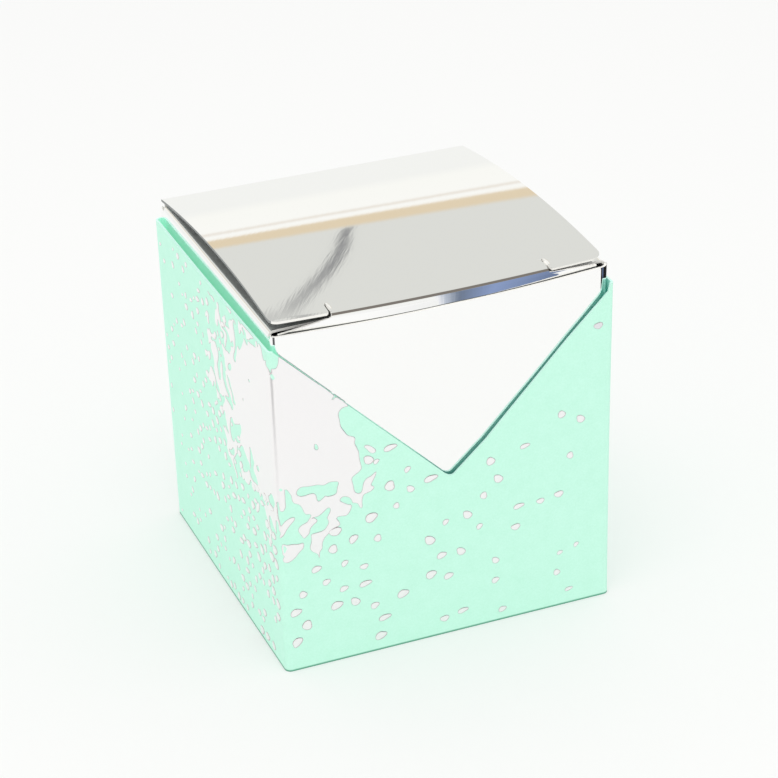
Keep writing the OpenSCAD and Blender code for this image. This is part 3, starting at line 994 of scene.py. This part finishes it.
def foil_field(points):
    """Above zero where there is foil; points are (distance from the fold line, height)."""
    u, z = points[..., 0], points[..., 1]
    side, above, below = (np.where(u > 0, ON_FRONT[key], ON_LEFT[key]) for key in ON_FRONT)
    far = np.sqrt((u / side) ** 2 + ((z - FIELD_Z) / np.where(z > FIELD_Z, above, below)) ** 2)
    bare_u, bare_z, wide, tall = BARE_PATCH
    bare = BARE_DEPTH * np.exp(-(((u - bare_u) / wide) ** 2) - ((z - bare_z) / tall) ** 2)
    return np.interp(far, *FIELD_FALL) + coral(points) - bare


# %% Trace the foil's outlines
def traced(values, start, step):
    """Closed outlines round the places of a grid that are above zero, foil on the left."""
    inside = values > 0
    ahead = {}
    low = inside[:-1, :-1]
    mixed = np.argwhere((low != inside[1:, :-1]) | (low != inside[:-1, 1:]) | (low != inside[1:, 1:]))
    for i, j in mixed:
        ring = [(i, j), (i + 1, j), (i + 1, j + 1), (i, j + 1)]
        state = [inside[c] for c in ring]
        sides = [tuple(sorted((ring[k], ring[(k + 1) % 4]))) for k in range(4)]
        leaving = [k for k in range(4) if state[k] and not state[(k + 1) % 4]]
        entering = [k for k in range(4) if not state[k] and state[(k + 1) % 4]]
        for k in leaving:
            to = entering[0] if len(entering) == 1 else (k - 1) % 4
            ahead[sides[k]] = sides[to]
    loops = []
    while ahead:
        first = next(iter(ahead))
        loop, here = [], first
        while here in ahead:
            (a, b), here = here, ahead.pop(here)
            share = values[a] / (values[a] - values[b])
            loop.append(start + step * (np.array(a) + share * (np.array(b) - np.array(a))))
        loops.append(np.array(loop))
    return loops


def evened(loop, spacing):
    """The loop with its steps smoothed and its points evenly spaced."""
    for _ in range(2):
        loop = (np.roll(loop, 1, 0) + 2 * loop + np.roll(loop, -1, 0)) / 4
    closed = np.vstack([loop, loop[:1]])
    length = np.concatenate([[0], np.cumsum(np.linalg.norm(np.diff(closed, axis=0), axis=1))])
    count = max(8, int(length[-1] / spacing))
    spots = np.linspace(0, length[-1], count, endpoint=False)
    return np.column_stack([np.interp(spots, length, closed[:, k]) for k in (0, 1)])


def loop_area(loop):
    """Signed area inside a loop."""
    x, y = loop[:, 0], loop[:, 1]
    return 0.5 * np.sum(x * np.roll(y, -1) - y * np.roll(x, -1))


def below_v(points):
    """Distance of a point on the front below the V's left edge, and below the top elsewhere."""
    x = points[..., 0] - half_s
    edge = np.where(x > -half_s + 0.6, SLEEVE_H - (x + 25.6) * (SLEEVE_H - 27.65) / 24.7, SLEEVE_H)
    return (edge - points[..., 1]) * np.where(x > -half_s + 0.6, 0.71, 1.0)


def room_for_foil(points):
    """The foil's number, cut off a little short of the card's cut edge."""
    return np.minimum(foil_field(points), 3.0 * (below_v(points) - 0.12))


GRID = 0.2
SMALLEST_PATCH = 0.12  # square millimetres
grid_start = np.array([-35.0, 17.0])
steps = np.stack(np.meshgrid(np.arange(0, 310), np.arange(0, 180), indexing="ij"), -1)
spots = grid_start + GRID * steps
field = room_for_foil(spots)
field[[0, -1], :] = field[:, [0, -1]] = -1
traces = traced(field, grid_start, GRID)
loops = [evened(loop, 0.26) for loop in traces if abs(loop_area(loop)) > SMALLEST_PATCH]
print(len(loops), "outlines,", sum(len(loop) for loop in loops), "points")

# %% [markdown]
# A plate needs its outline, a second line a little inside it where the
# slanting rim ends, and points between for the curve of the fold. The rim is
# widest at the lower right, the side away from the light, where the photo
# shows each fleck's dark edge.

# %% Make the foil plates
FOIL_TOP = 0.045  # height of a plate above the card
FOIL_LOW = 0.004  # height of its outline
FOIL_SUNK = -0.02  # its underside lies in the card
# the rim is painted darker as shade, and is widest on the lower right, away from the light
LOWER_RIGHT = np.array([0.75, -0.66])
RIM_WIDTH, RIM_SHADE_EXTRA = 0.045, 0.085


def rim_inset(loop):
    """The loop moved in by the rim's width, which is widest at the lower right, so the rim's painted
    shade is widest there.
    """
    tangent = np.roll(loop, -1, 0) - np.roll(loop, 1, 0)
    tangent /= np.linalg.norm(tangent, axis=1)[:, None]
    outward = np.column_stack([tangent[:, 1], -tangent[:, 0]])
    width = RIM_WIDTH + RIM_SHADE_EXTRA * np.clip(outward @ LOWER_RIGHT, 0, 1)
    return loop - outward * width[:, None]


def inside_loops(points, loops):
    """Which points lie inside an odd number of loops."""
    odd = np.zeros(len(points), bool)
    for loop in loops:
        ahead_of = np.roll(loop, -1, 0)
        for p, q in zip(loop, ahead_of):
            if p[1] == q[1]:
                continue
            spans = (points[:, 1] > p[1]) != (points[:, 1] > q[1])
            cut = p[0] + (points[:, 1] - p[1]) * (q[0] - p[0]) / (q[1] - p[1])
            odd ^= spans & (points[:, 0] < cut)
    return odd


drawing, edges = [], []
for loop in loops:
    for ring in (loop, rim_inset(loop)):
        first = len(drawing)
        drawing += [tuple(p) for p in ring]
        edges += [(first + k, first + (k + 1) % len(ring)) for k in range(len(ring))]
bend_rows = [row - FOLD_LINE for row in sleeve_rows if left_to - 0.01 <= row <= front_from + 0.01]
fillers = [(u, z) for u in bend_rows for z in np.arange(18, 52, 0.5)]
fillers += [(u, z) for u in np.arange(-34, 26, 1.5) for z in np.arange(18, 52, 1.5) if abs(u) > 1.2]
fillers = np.array(fillers)
drawing += [tuple(p) for p in fillers[room_for_foil(fillers) > 0.35]]
plan, _, triangles, *_ = delaunay_2d_cdt([Vector(p) for p in drawing], edges, [], 0, TINY)
plan = np.array([tuple(p) for p in plan])
triangles = counter_clockwise(plan, triangles)
middles = np.array([plan[list(tri)].mean(0) for tri in triangles])
kept = inside_loops(middles, loops)
triangles = [tri for tri, keep in zip(triangles, kept) if keep]
print(len(triangles), "triangles of foil")


# %% Lay the foil on the sleeve
def foil_piece(name, plan, triangles):
    """Closed thin plates on the sleeve's outer face."""
    used = sorted({k for tri in triangles for k in tri})
    renumber = {k: n for n, k in enumerate(used)}
    triangles = [tuple(renumber[k] for k in tri) for tri in triangles]
    blank = plan[used] + (FOLD_LINE, 0)
    card, normal = surface(sleeve_place, blank)
    rim = {k for edge in open_edges(triangles) for k in edge}
    height = np.array([FOIL_LOW if k in rim else FOIL_TOP for k in range(len(used))])
    top, bottom = card + normal * height[:, None], card + normal * FOIL_SUNK
    count = len(used)
    points, faces, normals, rim_shade_values = [*top, *bottom], [], [], []
    for a, b, c in triangles:
        slanting = bool({a, b, c} & rim)
        faces += [(a, b, c), (a + count, c + count, b + count)]
        if slanting:
            face_normal = np.cross(top[b] - top[a], top[c] - top[a])
            face_normal /= np.linalg.norm(face_normal)
            normals += [face_normal] * 3
        else:
            normals += [normal[a], normal[b], normal[c]]
        normals += [-normal[a], -normal[c], -normal[b]]
        rim_shade_values += [1.0 if slanting else 0.0, 1.0]
    for a, b in open_edges(triangles):
        side = np.cross(top[b] - top[a], normal[a])
        faces.append((b, a, a + count, b + count))
        normals += [side / np.linalg.norm(side)] * 4
        rim_shade_values.append(1.0)
    piece = make_mesh(name, points, faces, normals, [0] * len(faces), [spatter_foil])
    # these numbers mark where the material paints the rim's shade
    add_numbers(piece.data, "foil_rim_shade", "FACE", rim_shade_values)
    return piece


spatter = foil_piece("foil_field", plan, triangles)
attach(spatter, "sleeve_part")
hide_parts("foil_print")

# %% [markdown]
# ## The single flecks
# Beyond the solid foil the spatter breaks up into single flecks, large on the
# front and fine on the left wall. A few uneven fleck shapes are drawn once,
# and Geometry Nodes scatter them over a bed that follows the card. The bed
# carries two numbers at each point: how likely a fleck is, and how large.
# A Poisson scatter keeps the flecks a least distance apart, so they don't
# pile up as plain random points would.

# %% Draw the fleck shapes
def draw_fleck(index, collection):
    """A small uneven plate of foil with a slanting rim, about one millimetre long."""
    draw = np.random.default_rng(40 + index)
    count = 14
    angles = np.linspace(0, 2 * math.pi, count, endpoint=False)
    twofold = 0.13 * np.sin(2 * angles + draw.uniform(0, 6.3))
    threefold = 0.08 * np.sin(3 * angles + draw.uniform(0, 6.3))
    uneven = 1 + twofold + threefold
    slant = math.radians(draw.uniform(-25, 50))
    long, short = draw.uniform(0.52, 0.66), draw.uniform(0.36, 0.46)
    flat = np.column_stack([long * np.cos(angles), short * np.sin(angles)]) * uneven[:, None]
    turn = np.array([[math.cos(slant), math.sin(slant)], [-math.sin(slant), math.cos(slant)]])
    outer = flat @ turn
    levels = (outer, FOIL_SUNK), (outer, FOIL_LOW), (rim_inset(outer), FOIL_TOP)
    points = np.vstack([np.column_stack([ring, np.full(count, z)]) for ring, z in levels])
    faces = [tuple(range(2 * count, 3 * count)), tuple(reversed(range(count)))]
    for low in (0, count):
        for k in range(count):
            after = (k + 1) % count
            faces.append((low + k, low + after, low + count + after, low + count + k))
    mesh = plain_mesh(f"fleck_shape_{index}", points, faces, [spatter_foil])
    # these numbers mark where the material paints the rim's shade
    add_numbers(mesh, "foil_rim_shade", "FACE", [0.0] + [1.0] * (len(faces) - 1))
    collection.objects.link(bpy.data.objects.new(f"fleck_shape_{index}", mesh))


fleck_shapes = bpy.data.collections.new("fleck_shapes")
for index in range(8):
    draw_fleck(index, fleck_shapes)

# %% The scattering tree
scatter = bpy.data.node_groups.new("scatter_flecks", "GeometryNodeTree")
SCATTER_INPUTS = {
    "Bed": "NodeSocketGeometry",
    "Shapes": "NodeSocketCollection",
    "Turn": "NodeSocketVector",
    "Spacing": "NodeSocketFloat",
    "Most": "NodeSocketFloat",
    "Smallest": "NodeSocketFloat",
    "Largest": "NodeSocketFloat",
    "Seed": "NodeSocketInt",
    "Material": "NodeSocketMaterial",
}
for label, kind in SCATTER_INPUTS.items():
    scatter.interface.new_socket(label, in_out="INPUT", socket_type=kind)
scatter.interface.new_socket("Flecks", in_out="OUTPUT", socket_type="NodeSocketGeometry")
NODE_KINDS = (
    "NodeGroupInput",
    "GeometryNodeDistributePointsOnFaces",
    "GeometryNodeInputNamedAttribute",
    "GeometryNodeInputNamedAttribute",
    "GeometryNodeCollectionInfo",
    "GeometryNodeInstanceOnPoints",
    "FunctionNodeRandomValue",
    "ShaderNodeMath",
    "GeometryNodeRealizeInstances",
    "GeometryNodeSetMaterial",
    "NodeGroupOutput",
)
g_in, points_on, likely, how_large, shapes, stamp, *others = map(scatter.nodes.new, NODE_KINDS)
size_draw, size_scale, realize, finish_with, g_out = others
points_on.distribute_method = "POISSON"
for node, label in ((likely, "likely"), (how_large, "how_large")):
    node.data_type = "FLOAT"
    node.inputs["Name"].default_value = label
shapes.inputs["Separate Children"].default_value = True
shapes.inputs["Reset Children"].default_value = True
stamp.inputs["Pick Instance"].default_value = True
size_draw.data_type = "FLOAT"
size_scale.operation = "MULTIPLY"
random_floats = [s for s in size_draw.inputs if s.enabled and s.type == "VALUE"]
random_value = next(s for s in size_draw.outputs if s.enabled)
WIRES = [
    (g_in.outputs["Bed"], points_on.inputs["Mesh"]),
    (g_in.outputs["Spacing"], points_on.inputs["Distance Min"]),
    (g_in.outputs["Most"], points_on.inputs["Density Max"]),
    (g_in.outputs["Seed"], points_on.inputs["Seed"]),
    (likely.outputs["Attribute"], points_on.inputs["Density Factor"]),
    (g_in.outputs["Shapes"], shapes.inputs["Collection"]),
    (points_on.outputs["Points"], stamp.inputs["Points"]),
    (shapes.outputs["Instances"], stamp.inputs["Instance"]),
    (g_in.outputs["Turn"], stamp.inputs["Rotation"]),
    (g_in.outputs["Smallest"], random_floats[0]),
    (g_in.outputs["Largest"], random_floats[1]),
    (g_in.outputs["Seed"], size_draw.inputs["Seed"]),
    (random_value, size_scale.inputs[0]),
    (how_large.outputs["Attribute"], size_scale.inputs[1]),
    (size_scale.outputs[0], stamp.inputs["Scale"]),
    (stamp.outputs["Instances"], realize.inputs["Geometry"]),
    (realize.outputs["Geometry"], finish_with.inputs["Geometry"]),
    (g_in.outputs["Material"], finish_with.inputs["Material"]),
    (finish_with.outputs["Geometry"], g_out.inputs["Flecks"]),
]
for source, target in WIRES:
    scatter.links.new(source, target)
print("scatter tree", len(scatter.nodes), "nodes")


# %% [markdown]
# There is one bed on each wall, and neither reaches the fold, where the solid
# foil lies. The tree's result is kept as a plain mesh and its bed is removed,
# so nothing has to be worked out again when the piece is used elsewhere.

# %% Lay out the beds and scatter
def add_bed(name, outline, likely_at, large_at):
    """A plain mesh on the sleeve's face with the two numbers the tree reads."""
    s_values, t_values = [p[0] for p in outline], [p[1] for p in outline]
    rows = np.arange(min(s_values) + 0.5, max(s_values), 1.5)
    levels = np.arange(min(t_values) + 0.5, max(t_values), 1.5)
    plan, triangles = cut_blank(outline, rows, levels)
    place, _ = surface(sleeve_place, plan + (FOLD_LINE, 0))
    mesh = plain_mesh(name, place, triangles)
    add_numbers(mesh, "likely", "POINT", likely_at(plan))
    add_numbers(mesh, "how_large", "POINT", large_at(plan))
    return add_object(name, mesh)


def scatter_flecks(name, bed, **values):
    """Runs the tree on a bed and keeps its result as a plain mesh."""
    modifier = bed.modifiers.new("scatter", "NODES")
    modifier.node_group = scatter
    for item in scatter.interface.items_tree:
        if item.name in values:
            modifier[item.identifier] = values[item.name]
    depsgraph = bpy.context.evaluated_depsgraph_get()
    mesh = bpy.data.meshes.new_from_object(bed.evaluated_get(depsgraph))
    mesh.name = name
    bpy.data.objects.remove(bed)
    piece = add_object(name, mesh)
    print(name, len(mesh.polygons), "faces,", [m.name for m in mesh.materials])
    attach(piece, "sleeve_part")
    return piece


def clear_of_foil(plan):
    """Zero on and beside the solid foil, one away from it."""
    return np.clip((-0.25 - foil_field(plan)) / 0.3, 0, 1)


def likely_front(plan):
    """How likely a fleck is on the front, rarer away from the fold."""
    far = np.hypot(plan[:, 0] / 52, (plan[:, 1] - 28) / 60)
    return clear_of_foil(plan) * np.interp(far, [0, 0.25, 0.5, 0.75, 1.1], [1, 0.85, 0.5, 0.3, 0.2])


def likely_left(plan):
    """How likely a fleck is on the left wall."""
    far = np.hypot(plan[:, 0] / 50, (plan[:, 1] - 38) / 50)
    return clear_of_foil(plan) * np.interp(far, [0, 0.45, 0.75, 1.1], [1, 0.9, 0.5, 0.25])


u_front, u_end, u_left = front_from - FOLD_LINE, front_to - FOLD_LINE - 1.2, left_from - FOLD_LINE + 1
front_outline = [(u_front + 1, 1.6), (u_end, 1.6), (u_end, 47.5)]
front_outline += [(half_s + 0.6, 24.6), (half_s - 1.0, 25.6), (u_front + 1, 49.5)]
left_outline = [(u_left, 1.2), (-u_front - 0.8, 1.2), (-u_front - 0.8, 50.6), (u_left, 50.6)]
front_bed = add_bed(
    "front_bed", front_outline, likely_front, lambda plan: np.clip(1.12 - 0.007 * plan[:, 0], 0.7, 1.1)
)
shared = {"Shapes": fleck_shapes, "Material": spatter_foil}
scatter_flecks(
    "foil_flecks_front", front_bed, Turn=(math.pi / 2, 0, 0),
    Spacing=0.0028, Most=600000.0, Smallest=0.95, Largest=1.65, Seed=4, **shared,
)
left_bed = add_bed(
    "left_bed", left_outline, likely_left, lambda plan: np.clip(1.1 + 0.008 * plan[:, 0], 0.6, 1.1)
)
scatter_flecks(
    "foil_flecks_left", left_bed, Turn=(math.pi / 2, 0, -math.pi / 2),
    Spacing=0.0017, Most=1800000.0, Smallest=0.8, Largest=1.55, Seed=9, **shared,
)

# %% [markdown]
# ## Floor, light and camera
# The box stands on a plain pale floor in soft studio light. A mirror shows
# whatever surrounds it, so the world is also the studio: white low down, one
# thin warm batten, and a soft grey ceiling above it. Only reflections see
# that picture. Everything else gets even light from all round. The floor
# glows a little, as a light table does, which lifts the shade at the foot.

# %% The floor
FLOOR = 3000.0
corners = [(FLOOR * i, FLOOR * j, 0) for i, j in ((-1, -1), (1, -1), (1, 1), (-1, 1))]
floor_paint, tree, shader = new_material("floor_paint")
look = {"Base Color": (0.595, 0.597, 0.595, 1), "Roughness": 0.9, "Specular IOR Level": 0.0}
glow = {"Emission Color": (1, 1, 1, 1), "Emission Strength": 0.285}
set_inputs(tree, shader, look | glow)
floor = add_object("floor", plain_mesh("floor", corners, [(0, 1, 2, 3)], [floor_paint]))

# %% [markdown]
# Three dark cards stand beside the camera's view. Nobody sees them, and they
# take no light away. They only show in mirror surfaces: a blue-grey one at
# the right in the tuck flap, and low strips in the box's round corners.

# %% Cards for the reflections
def reflected_card(name, points, faces, colour):
    """A flat card of one colour that only mirrors see."""
    paint, tree, shader = new_material(name + "_paint")
    tree.nodes.remove(shader)
    shine = add_node(tree, "Emission", {"Color": (*colour, 1)}).outputs["Emission"]
    set_inputs(tree, tree.nodes["Material Output"], {"Surface": shine})
    card = add_object(name, plain_mesh(name, points, faces, [paint]))
    for ray in ("camera", "diffuse", "shadow", "transmission"):
        setattr(card, "visible_" + ray, False)
    return card


def round_strip(centre, radius, start, end, low, high):
    """Points and faces of an upright strip bent round a corner; angles from -Y towards +X."""
    points, faces = [], []
    for k, angle in enumerate(np.radians(np.linspace(start, end, 13))):
        x, y = centre[0] + radius * math.sin(angle), centre[1] - radius * math.cos(angle)
        points += [(x, y, low), (x, y, high)]
        if k:
            faces.append((2 * k - 2, 2 * k, 2 * k + 1, 2 * k - 1))
    return points, faces


blue_shape = round_strip((0, -half_b), 105, 19, 70, 14, 90)
right_shape = round_strip((half_b, -half_b), 85, 36.5, 190, 1, 20)
left_shape = round_strip((-half_b, -half_b), 85, -75, -35, 1, 16)
blue_card = reflected_card("blue_card", *blue_shape, (0.20, 0.27, 0.42))
reflected_card("right_strip", *right_shape, (0.015, 0.015, 0.015))
reflected_card("left_strip", *left_shape, (0.12, 0.12, 0.12))

SHADES = [
    (19.0, (0.95, 0.95, 0.97)),
    (20.5, (0.50, 0.55, 0.64)),
    (23.0, (0.16, 0.20, 0.28)),
    (29.0, (0.26, 0.34, 0.56)),
    (45.0, (0.12, 0.16, 0.26)),
]
tree = blue_card.data.materials[0].node_tree
place = axes(tree, object_place(tree))
ahead_of_box = chain(tree, place["Y"], ("ADD", half_b * MM), ("MULTIPLY", -1.0))
across = math_node(tree, "ARCTAN2", place["X"], ahead_of_box)
shades = colour_ramp(tree, across, [(math.radians(angle), colour) for angle, colour in SHADES])
set_inputs(tree, tree.nodes["Emission"], {"Color": shades})

# %% [markdown]
# The studio's picture depends on direction only. Its bands follow the
# height, so a ramp over the sine of the elevation paints them. A soft dark
# patch high in front shows in the lid's round front fold.

# %% The studio's bands
world = bpy.data.worlds.new("studio")
bpy.context.scene.world = world
world.use_nodes = True
tree = world.node_tree
sight = add_node(tree, "TexCoord", {}).outputs["Generated"]
toward = axes(tree, sight)
SHADE, PALE, WHITE = (0.91, 0.915, 0.89), (0.965, 0.965, 0.925), (0.972, 0.97, 0.935)
LINE, BATTEN, CEILING = (0.80, 0.74, 0.66), (0.76, 0.64, 0.46), (0.725, 0.73, 0.695)
BANDS = [
    (0.0, SHADE), (13.0, SHADE), (14.8, PALE), (18.7, WHITE), (19.2, LINE), (19.6, WHITE),
    (20.3, WHITE), (20.8, BATTEN), (22.3, BATTEN), (23.0, CEILING), (70, CEILING),
]
bands = [(math.sin(math.radians(angle)), colour) for angle, colour in BANDS]
studio = colour_ramp(tree, toward["Z"], bands)


def soft_patch(direction, inner, outer):
    """One inside a cone round a direction, zero outside it."""
    middle = Vector(direction).normalized()
    aim = add_node(tree, "VectorMath", {0: sight, 1: middle}, operation="DOT_PRODUCT")
    start, end = (math.cos(math.radians(angle)) for angle in (outer, inner))
    return fade_node(tree, aim.outputs["Value"], start, end, "SMOOTHSTEP")


def aimed(azimuth, elevation):
    """Direction at an azimuth from +Y towards +X, and an elevation, in degrees."""
    a, e = math.radians(azimuth), math.radians(elevation)
    return math.sin(a) * math.cos(e), math.cos(a) * math.cos(e), math.sin(e)


picture = colour_mix(tree, soft_patch(aimed(155, 42), 19, 27), studio, (0.21, 0.19, 0.17, 1))

# %% [markdown]
# The lid shows one narrow dark streak that runs from front to back. Its
# bearing changes a little with height, so a smooth ramp holds the bearing at
# six heights, and the streak is dark where a direction lies close to it.

# %% The streak in the lid
STREAK = [
    (0.3968, 20.2), (0.4456, 20.5), (0.4937, 20.7),
    (0.5393, 20.7), (0.5811, 20.6), (0.6179, 20.5),
]
DARKNESS = [(0.385, 0.0), (0.395, 0.85), (0.50, 0.75), (0.60, 0.45), (0.65, 0.1)]
LEAST, SPAN = 18.0, 4.0  # the ramp's zero and its length, in degrees
bearing = math_node(tree, "ARCTAN2", toward["X"], toward["Y"])
stops = [(z, (angle - LEAST) / SPAN) for z, angle in STREAK]
turn = grey_ramp(tree, toward["Z"], stops, "CARDINAL")
middle = chain(tree, turn, ("MULTIPLY", SPAN), ("ADD", LEAST), ("MULTIPLY", math.radians(1)))
width = chain(tree, toward["Z"], ("SUBTRACT", 0.26), ("MULTIPLY", 0.026))
aside = math_node(tree, "ABSOLUTE", math_node(tree, "SUBTRACT", bearing, middle))
nearness = math_node(tree, "SUBTRACT", 1.0, math_node(tree, "DIVIDE", aside, width))
closeness = grey_ramp(tree, nearness, [(0.0, 0.0), (0.9, 1.0)])
dark = math_node(tree, "MULTIPLY", closeness, grey_ramp(tree, toward["Z"], DARKNESS))
picture = colour_mix(tree, dark, picture, (0.10, 0.10, 0.12, 1))

# %% [markdown]
# Last the picture is shown to reflections only. The camera sees plain white
# behind the box, and every other ray meets an even light.

# %% Who sees what
EVEN = 1.06
rays = add_node(tree, "LightPath", {}).outputs
lit = colour_mix(tree, rays["Is Glossy Ray"], (EVEN, EVEN, 0.99 * EVEN, 1), picture)
seen = colour_mix(tree, rays["Is Camera Ray"], lit, (1, 1, 1, 1))
set_inputs(tree, tree.nodes["Background"], {"Color": seen})

# %% [markdown]
# One soft lamp above the front gives the shade a direction. The camera is
# fitted to the edges measured in the photo, and rolls a little as a
# hand-held one does. The Standard view keeps the card's colours as they are.

# %% The lamp
lamp = bpy.data.lights.new("soft_box", "AREA")
lamp.shape = "DISK"
lamp.size = 0.4
lamp.energy = 0.6
lamp.color = (1.0, 0.97, 0.94)
lamp_object = add_object("soft_box", lamp)
lamp_object.location = (-0.1, -0.2, 0.6)
lamp_aim = Vector((0, 0, 0.03)) - lamp_object.location
lamp_object.rotation_euler = lamp_aim.to_track_quat("-Z", "Y").to_euler()
lamp_object.visible_glossy = False

# %% The camera
AZIMUTH, ELEVATION, ROLL = (math.radians(v) for v in (-21.136, 27.026, -2.029))
DISTANCE, LENS = 370.666, 111.78
TARGET = Vector((1.456, 0, 28.374))
level_out = Vector((math.sin(AZIMUTH), -math.cos(AZIMUTH), 0)) * math.cos(ELEVATION)
back = level_out + Vector((0, 0, math.sin(ELEVATION)))
level = (-back).cross(Vector((0, 0, 1))).normalized()
upright = level.cross(-back)
right = level * math.cos(ROLL) + upright * math.sin(ROLL)
up = upright * math.cos(ROLL) - level * math.sin(ROLL)
camera_data = bpy.data.cameras.new("photo_camera")
camera_data.sensor_width = 36
camera_data.lens = LENS
camera = add_object("photo_camera", camera_data)
turned = Matrix((right, up, back)).transposed().to_4x4()
camera.matrix_world = Matrix.Translation((TARGET + back * DISTANCE) * MM) @ turned
bpy.context.scene.camera = camera
bpy.context.scene.view_settings.view_transform = "Standard"
